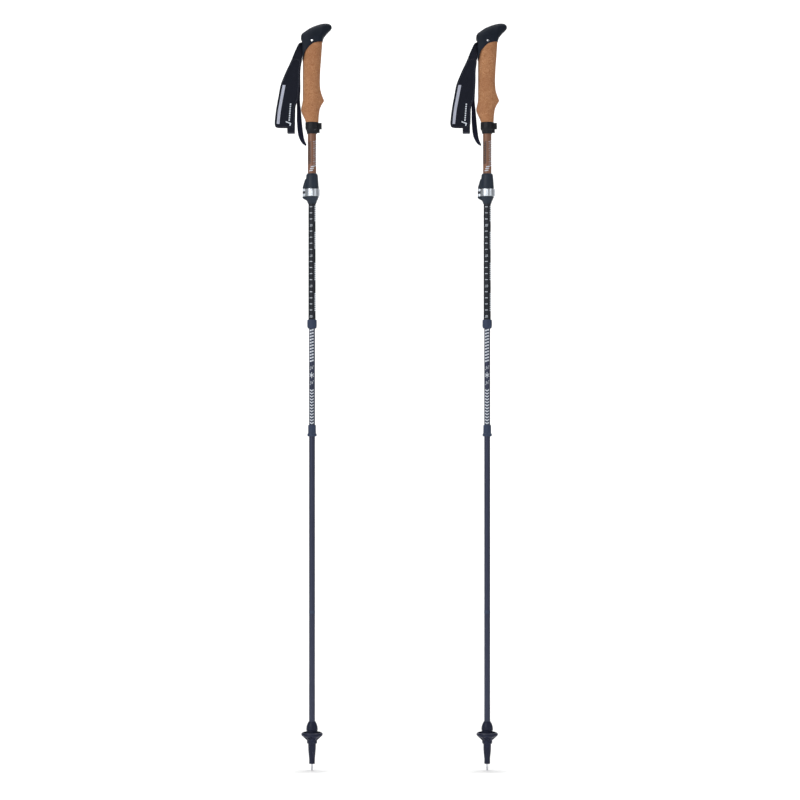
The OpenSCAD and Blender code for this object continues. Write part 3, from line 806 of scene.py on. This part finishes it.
def make_pad(pole, model=None):
    """The pad. The second pole's one is the first one's mesh, moved over."""
    if model is None:
        pad = flat_pad(pole)
        swell(pole, pad)
        relaxed(pad, 3)
        applied(pad, ("SUBSURF", {"levels": 1, "render_levels": 1}))
        pad.data.materials.clear()
        pad.data.materials.append(knit)
    else:
        source, other = model
        pad = copied(pole.side + "padding", source, pole.axis - other.axis)
    pad.data.shade_smooth()
    pole.ride(pad, "strap", "strap_padding", "strap_pad")
    return pad


def surface_of(pole, pad):
    """A function that gives the y of the pad's front at a place (x, height), in millimetres."""
    tree = BVHTree.FromObject(pad, bpy.context.evaluated_depsgraph_get())

    def front(x, height):
        start = pole.handle_point(x, -60, height)
        hit = tree.ray_cast(start, Vector((0, 1, 0)))[0]
        return hit.y / MM if hit else PAD_Y - PAD_FLAT / 2
    return front


def sweep_profile(pole, name, path, inward, profile, look):
    """Carries a closed profile of (depth inward, y) round a closed path of (x, height)."""
    rings, uv = [], []
    run = 0.0
    for k, (p, q) in enumerate(zip(path, inward)):
        if k:
            run += (p - path[k - 1]).length
        way = (q - p).normalized()
        rings.append([(p.x + way.x * d, y, p.y + way.y * d + pole.collar) for d, y in profile])
        around = 0.0
        for i, point in enumerate(profile):
            if i:
                around += math.dist(point, profile[i - 1])
            uv.append((around, run))
    n = len(profile)
    points = [p for ring in rings for p in ring]
    count = len(rings)
    faces = [(k * n + i, k * n + (i + 1) % n, (k + 1) % count * n + (i + 1) % n,
              (k + 1) % count * n + i) for k in range(count) for i in range(n)]
    return pole.add(name, points, faces, look, uv)


def make_binding(pole):
    """Woven tape folded over the pad's rim."""
    rim = [Vector(p) for p in smooth_path(PAD_OUTLINE, 6, closed=True)]
    inner = offset_outline(rim, 1.0)
    half, wrap = 1.75, 3.0
    profile = [(wrap, -half * 0.8), (wrap - 0.4, -half), (0.8, -half), (0.2, -half * 0.7),
               (0, 0), (0.2, half * 0.7), (0.8, half), (wrap - 0.4, half), (wrap, half * 0.8)]
    profile = [(d, PAD_Y + y) for d, y in profile]
    tape = sweep_profile(pole, "pad_binding", rim, inner, profile, binding_cloth)
    pole.ride(tape, "strap", "strap_webbing")


def make_stitches(pole, name, path, look, front, spacing=2.6, length=1.7, radius=0.22):
    """A row of stitches along a path of (x, height) over the pad: small pinched loops."""
    points, faces = [], []
    reach = 0.0
    for a, b in zip(path, path[1:]):
        step = (b - a).length
        while reach < step:
            middle = a + (b - a) * (reach / step)
            way = (b - a).normalized()
            side = Vector((-way.y, way.x))
            rings = []
            for t, size in ((-0.5, 0.35), (-0.3, 0.9), (0, 1.0), (0.3, 0.9), (0.5, 0.35)):
                centre = middle + way * t * length
                y = front(centre.x, centre.y)
                ring = []
                for i in range(6):
                    turn = 2 * math.pi * i / 6
                    out = math.cos(turn) * radius * size
                    across = math.sin(turn) * radius * size * 1.3
                    ring.append((centre.x + side.x * across, y + out,
                                 centre.y + side.y * across + pole.collar))
                rings.append(ring)
            add_skin(points, faces, rings)
            reach += spacing
        reach -= step
    stitches = pole.add(name, points, faces, look)
    pole.ride(stitches, "strap", "strap_webbing")


def draped_patch(pole, name, edges, front, look, slot, proud=0.14, across=6, steps=28):
    """A thin patch on the pad's front, between two lists of (x, height) points."""
    left = [np.array(p, float) for p in edges[0]]
    right = [np.array(p, float) for p in edges[1]]
    path = smooth_path([(*a, *b) for a, b in zip(left, right)], max(1, steps // len(left)))
    rings = []
    for p in path:
        ring = []
        for depth in (-proud, 0.25):
            order = range(across + 1) if depth < 0 else range(across, -1, -1)
            for i in order:
                t = i / across
                x, h = p[0] + (p[2] - p[0]) * t, p[1] + (p[3] - p[1]) * t
                ring.append((x, front(x, h) + depth, h + pole.collar))
        rings.append(ring)
    points, faces = skin(rings)
    patch = pole.add(name, points, faces, look)
    sharpen(patch, 50)
    pole.ride(patch, "strap", slot)


def make_strap(pole, model):
    start = pole.handle_point(-15, 0, 148)
    end = pole.handle_point(-23, 0, 138)
    strips = (("strap_front", FRONT_STRIP, 1.3, webbing, ("wrist_strap",)),
              ("strap_rear", REAR_STRIP, 1.3, webbing, ()),
              ("strap_tail", TAIL_STRIP, 1.2, tail_webbing, ()))
    for name, strip, thickness, look, stands_for in strips:
        ribbon = make_ribbon(pole, name, strip, thickness, look)
        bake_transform(ribbon)
        pole.finish(ribbon, "strap_webbing", *stands_for)

    pad = make_pad(pole, model)
    front = surface_of(pole, pad)
    make_binding(pole)
    rim = [Vector(p) for p in smooth_path(PAD_OUTLINE, 6, closed=True)]
    seam = [p for p in offset_outline(rim, 2.3) if min((p - r).length for r in rim) > 2.2]
    rim_y = PAD_Y - 1.8
    make_stitches(pole, "pad_stitching", seam + seam[:1], thread, lambda x, h: rim_y)
    draped_patch(pole, "reflective_stripe",
                 ([(-47.8, 79), (-51.8, 58), (-55.6, 36), (-57.6, 15)],
                  [(-43.0, 79), (-47.0, 58), (-50.9, 36), (-53.3, 15)]),
                 front, reflective, "strap_padding")
    for k in range(8):
        low, high = 20.2 + 3.7 * k, 22.7 + 3.7 * k
        left = -38.2 + 0.085 * (low - 20)
        draped_patch(pole, f"pad_mark_{k + 1}",
                     ([(left, low), (left + 0.3, high)], [(left + 2.1, low), (left + 2.4, high)]),
                     front, white_ink, "strap_webbing", steps=8, across=3)
    inner, outer = (-33.7, 16.4), (-35.9, 15.3)
    for name, edges in (("top", ([(-42.8, 19.6), inner], [(-42.5, 17.7), outer])),
                        ("side", ([inner, (-34.9, 11.9)], [outer, (-36.9, 12.3)]))):
        draped_patch(pole, f"pad_corner_{name}", edges, front, white_ink, "strap_webbing",
                     steps=12, across=3)
    return pad


# ------------------------------------------------------------------ printed marks

def wrapped(pole, name, patches, radius, look, body, slot, proud=0.07):
    """Thin ink patches round a tube. A patch is four corners (distance round, height), where the
    distance round the tube is counted from the viewer's side, to +X."""
    points, faces = [], []
    for low_left, low_right, high_right, high_left in patches:
        width = max(abs(low_right[0] - low_left[0]), abs(high_right[0] - high_left[0]))
        columns = max(1, math.ceil(width / 0.7))
        rings = []
        for i in range(columns + 1):
            t = i / columns
            ring = []
            for r in (radius - 0.1, radius + proud):
                for a, b in ((low_left, low_right), (high_left, high_right)):
                    u, z = a[0] + (b[0] - a[0]) * t, a[1] + (b[1] - a[1]) * t
                    ring.append((r * math.sin(u / radius), -r * math.cos(u / radius), z))
            rings.append([ring[0], ring[1], ring[3], ring[2]])
        add_skin(points, faces, rings)
    marks = pole.add(name, points, faces, look)
    sharpen(marks, 30)
    pole.ride(marks, body, slot)


def bar(u, z, width, height, slant=0.0):
    """A bar patch about its middle. slant lifts its right end."""
    left, right = u - width / 2, u + width / 2
    low, high = z - height / 2, z + height / 2
    return [(left, low - slant / 2), (right, low + slant / 2),
            (right, high + slant / 2), (left, high - slant / 2)]


# The strokes of a plain seven-bar digit: (u, z, width, height) in digit widths and half heights
STROKES = {
    "top": (0, 1, 1, 0), "middle": (0, 0, 1, 0), "bottom": (0, -1, 1, 0),
    "upper_left": (-0.5, 0.5, 0, 1), "upper_right": (0.5, 0.5, 0, 1),
    "lower_left": (-0.5, -0.5, 0, 1), "lower_right": (0.5, -0.5, 0, 1),
}
DIGITS = {
    "0": ("top", "bottom", "upper_left", "upper_right", "lower_left", "lower_right"),
    "1": ("upper_right", "lower_right"),
    "2": ("top", "upper_right", "middle", "lower_left", "bottom"),
    "5": ("top", "upper_left", "middle", "lower_right", "bottom"),
}


def number_patches(text, u, z, digit_width=1.05, half_height=1.05, line=0.36, gap=0.75):
    """Patches that write a number, centred on (u, z)."""
    pitch = digit_width + gap
    start = u - pitch * (len(text) - 1) / 2
    patches = []
    for k, digit in enumerate(text):
        for stroke in DIGITS[digit]:
            du, dz, wide, tall = STROKES[stroke]
            patches.append(bar(start + pitch * k + du * digit_width, z + dz * half_height,
                               wide * digit_width + line, tall * half_height + line))
    return patches


# Ink on the upper shaft is thinner than its running clearance in the handle
SLIDING_INK = 0.02
LOCK_HEIGHT = 50
FERRULE_2_HEIGHT = 19


def make_scale(pole):
    """The length scale: a mark each centimetre, a number at each fifth one."""
    first, pitch, count, lowest, centre = pole.shaft + 5.8, 10.0, 19, 105, -1.7
    patches = []
    for k in range(count):
        z = first + pitch * k
        if k % 5:
            patches.append(bar(centre, z, 4.6, 0.95))
        else:
            patches += number_patches(str(lowest + k), centre, z + 0.2)
            patches += [bar(centre, z - 2.0, 4.8, 0.5)]
    wrapped(pole, "length_scale", patches, pole.upper_r, white_ink, "shaft", "shaft_finish",
            SLIDING_INK)


def make_side_marks(pole):
    """Plain comb marks up the side of the upper shaft, in four blocks above its lower end."""
    patches = []
    for low, high in ((13.5, 44.5), (64.5, 94.5), (116.5, 145.5), (161.5, 188.5)):
        count = round((high - low) / 3.4)
        for k in range(count):
            z = pole.shaft + low + (high - low) * (k + 0.5) / count
            patches.append(bar(7.3, z, 5.4, 1.9, slant=0.9 if k % 3 else 0.0))
    wrapped(pole, "side_marks", patches, pole.upper_r, white_ink, "shaft", "shaft_finish",
            SLIDING_INK)


def make_bands(pole):
    """The print on the middle tube: slanted bars, an asterisk between lines, and chevrons."""
    top, bottom = pole.joint1, pole.joint2 + FERRULE_2_HEIGHT
    centre = -0.4
    patches = []
    for k in range(11):
        z = top - 3.4 - 5.05 * k
        patches.append(bar(centre - 1.95, z, 3.3, 2.4, slant=0.6))
        patches.append(bar(centre + 1.75, z + 1.15, 3.3, 2.4, slant=0.7))
    for z in (top - 64.5, top - 89.0):
        patches += [bar(centre - 1.2, z, 0.8, 4.4), bar(centre + 1.4, z - 0.6, 0.8, 3.6)]
        patches += [bar(centre - 2.6, z - 3.6, 2.2, 0.8), bar(centre + 2.8, z + 2.6, 1.8, 0.8)]
    emblem_z = top - 77.0
    for k in range(3):
        a = math.radians(30 + 60 * k)
        du, dz = math.cos(a) * 4.4, math.sin(a) * 4.8
        nu, nz = -math.sin(a) * 0.55, math.cos(a) * 0.55
        patches.append([(centre + i * du + j * nu, emblem_z + i * dz + j * nz)
                        for i, j in ((-1, -1), (1, -1), (1, 1), (-1, 1))])
    for k in range(12):
        z = bottom + 2.6 + 4.9 * k
        for way in (-1, 1):
            outer, inner = centre + 3.5 * way, centre
            corners = [(outer, z + 0.6), (inner, z - 1.5), (inner, z + 0.5), (outer, z + 2.5)]
            patches.append(corners if way < 0 else [corners[i] for i in (1, 0, 3, 2)])
    wrapped(pole, "band_print", patches, pole.lower_r, white_ink, "middle", "shaft_finish")


def make_handle_print(pole):
    """Dark ladder print and pale ticks on the tan handle tube."""
    low, high, r = pole.lock + LOCK_HEIGHT, pole.collar, pole.handle_r
    dark, pale = [], []
    for k in range(9):
        z = high - 14.5 - 4.1 * k
        dark.append(bar(-7.4, z, 1.3, 4.3))
        dark.append(bar(-3.0, z, 1.1, 4.3))
        dark.append(bar(-5.2, z - 1.2, 3.4, 1.5, slant=1.0 if k % 2 else -1.0))
        dark.append(bar(-1.4, z + 0.9, 2.2, 0.8))
    for k in range(12):
        pale.append(bar(8.2, high - 12 - 3.7 * k, 5.6 if k % 2 else 4.0, 1.5))
        pale.append(bar(3.6, high - 13.4 - 3.7 * k, 1.6 if k % 3 else 2.8, 0.7))
    for k in range(3):
        pale.append(bar(-1.4 + 1.4 * k, low + 4.6 + 3.3 * k, 6.5, 1.5, slant=1.2))
    wrapped(pole, "handle_print_dark", dark, r, dark_ink, "handle", "handle_tube_finish")
    wrapped(pole, "handle_print_pale", pale, r, white_ink, "handle", "handle_tube_finish")


# ------------------------------------------------------------------ cord in the open joints

def make_cord_bridge(pole, number, joint):
    """The stretch of tension cord that shows between two sections when their joint is open. At
    rest it is inside them, with its rings set close together round the joint."""
    radius, sides, rings = 1.15, 12, []
    middle = joint + 4.0
    heights = [middle - 3 + 0.13 * k for k in range(18)]
    heights += [middle - 0.6 + 1.2 * k / 48 for k in range(49)]
    heights += [middle + 0.7 + 0.13 * k for k in range(18)]
    for z in heights:
        rings.append([(radius * math.cos(2 * math.pi * i / sides),
                       radius * math.sin(2 * math.pi * i / sides), z) for i in range(sides)])
    points, faces = skin(rings)
    bridge = pole.add(f"cord_bridge_{number}", points, faces, cord_jacket)
    pole.world((0, 0, middle + 0.6))
    pole.world((0, 0, middle - 0.6))
    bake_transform(bridge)
    pole.finish(bridge, "cord_jacket")


# ------------------------------------------------------------------ CAD nodes that stay

# Moulded and die-cast nodes: body, slot, voxel size in millimetres and rounds of smoothing
SOFTENED = {
    "grip_collar": ("handle", "black_plastic", 0.36, 4),
    "lock_housing": ("handle", "lock_plastic", 0.36, 4),
    "lock_lever": ("lever", "lever_metal", 0.24, 5),
    "ferrule_1": ("shaft", "ferrule_finish", 0.3, 4),
    "ferrule_2": ("middle", "ferrule_finish", 0.26, 3),
    "basket": ("basket", "tip_plastic", 0.36, 4),
    "tip_ferrule": ("bottom", "tip_plastic", 0.36, 4),
}


def dress_cad_nodes():
    """Every CAD node gets its slot's look, and the upper shaft a darker coat."""
    for part in frame["record"]["subparts"]:
        piece = frame["nodes"][part["node"]]
        piece.data.materials.clear()
        look = SLOT_LOOKS[part["material_slot"]]
        piece.data.materials.append(upper_coat if part["node"].endswith("upper_shaft") else look)


def carve_lock_bore(pole, housing):
    """Clears the lock's bore for the shaft, up to just above the lever's band."""
    low, below, above, clearance = pole.lock - pole.collar, 2, 26, 0.12
    carved(housing, rod_cutter(pole, (0, 0, low - below), (0, 0, low + above),
                               pole.upper_r + clearance, 64))


def make_softened(pole, models):
    """Pieces with the CAD nodes' own shapes, their edges rounded as moulding leaves them."""
    for node, (body, slot, voxel, rounds) in SOFTENED.items():
        name = pole.side + node + "_moulded"
        if node in models:
            piece = copied(name, models[node][0], pole.axis - models[node][1])
        else:
            piece = copied(name, frame["nodes"][pole.side + node])
            applied(piece, ("WELD", {"merge_threshold": 0.002 * MM}),
                    ("REMESH", {"mode": "VOXEL", "voxel_size": voxel * MM}))
            relaxed(piece, rounds)
            if node == "lock_housing":
                carve_lock_bore(pole, piece)
            piece.data.materials.clear()
            piece.data.materials.append(SLOT_LOOKS[slot])
            models[node] = (piece, pole.axis)
        piece.data.shade_smooth()
        pole.ride(piece, body, slot, node)


def make_spring(pole):
    """The coil behind the release button, copied from its CAD node."""
    node, wire_radius = pole.side + "button_spring", 0.3
    spring = copied(node + "_coil", frame["nodes"][node])
    low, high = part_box(node)
    middle, wire = (low + high) / 2, Vector((0, wire_radius * MM, 0))
    start, end = middle.copy(), middle.copy()
    start.y, end.y = low.y, high.y
    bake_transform(spring)
    pole.finish(spring, "steel", "button_spring")


dress_cad_nodes()
first_pad, moulded = None, {}
for side in SIDES:
    pole = Pole(side)
    make_softened(pole, moulded)
    make_spring(pole)
    make_grip(pole)
    make_head(pole)
    pad = make_strap(pole, first_pad)
    first_pad = first_pad or (pad, pole)
    make_scale(pole)
    make_side_marks(pole)
    make_bands(pole)
    make_handle_print(pole)
    make_cord_bridge(pole, 1, pole.joint1)
    make_cord_bridge(pole, 2, pole.joint2)
    make_cord_bridge(pole, 3, pole.joint3)
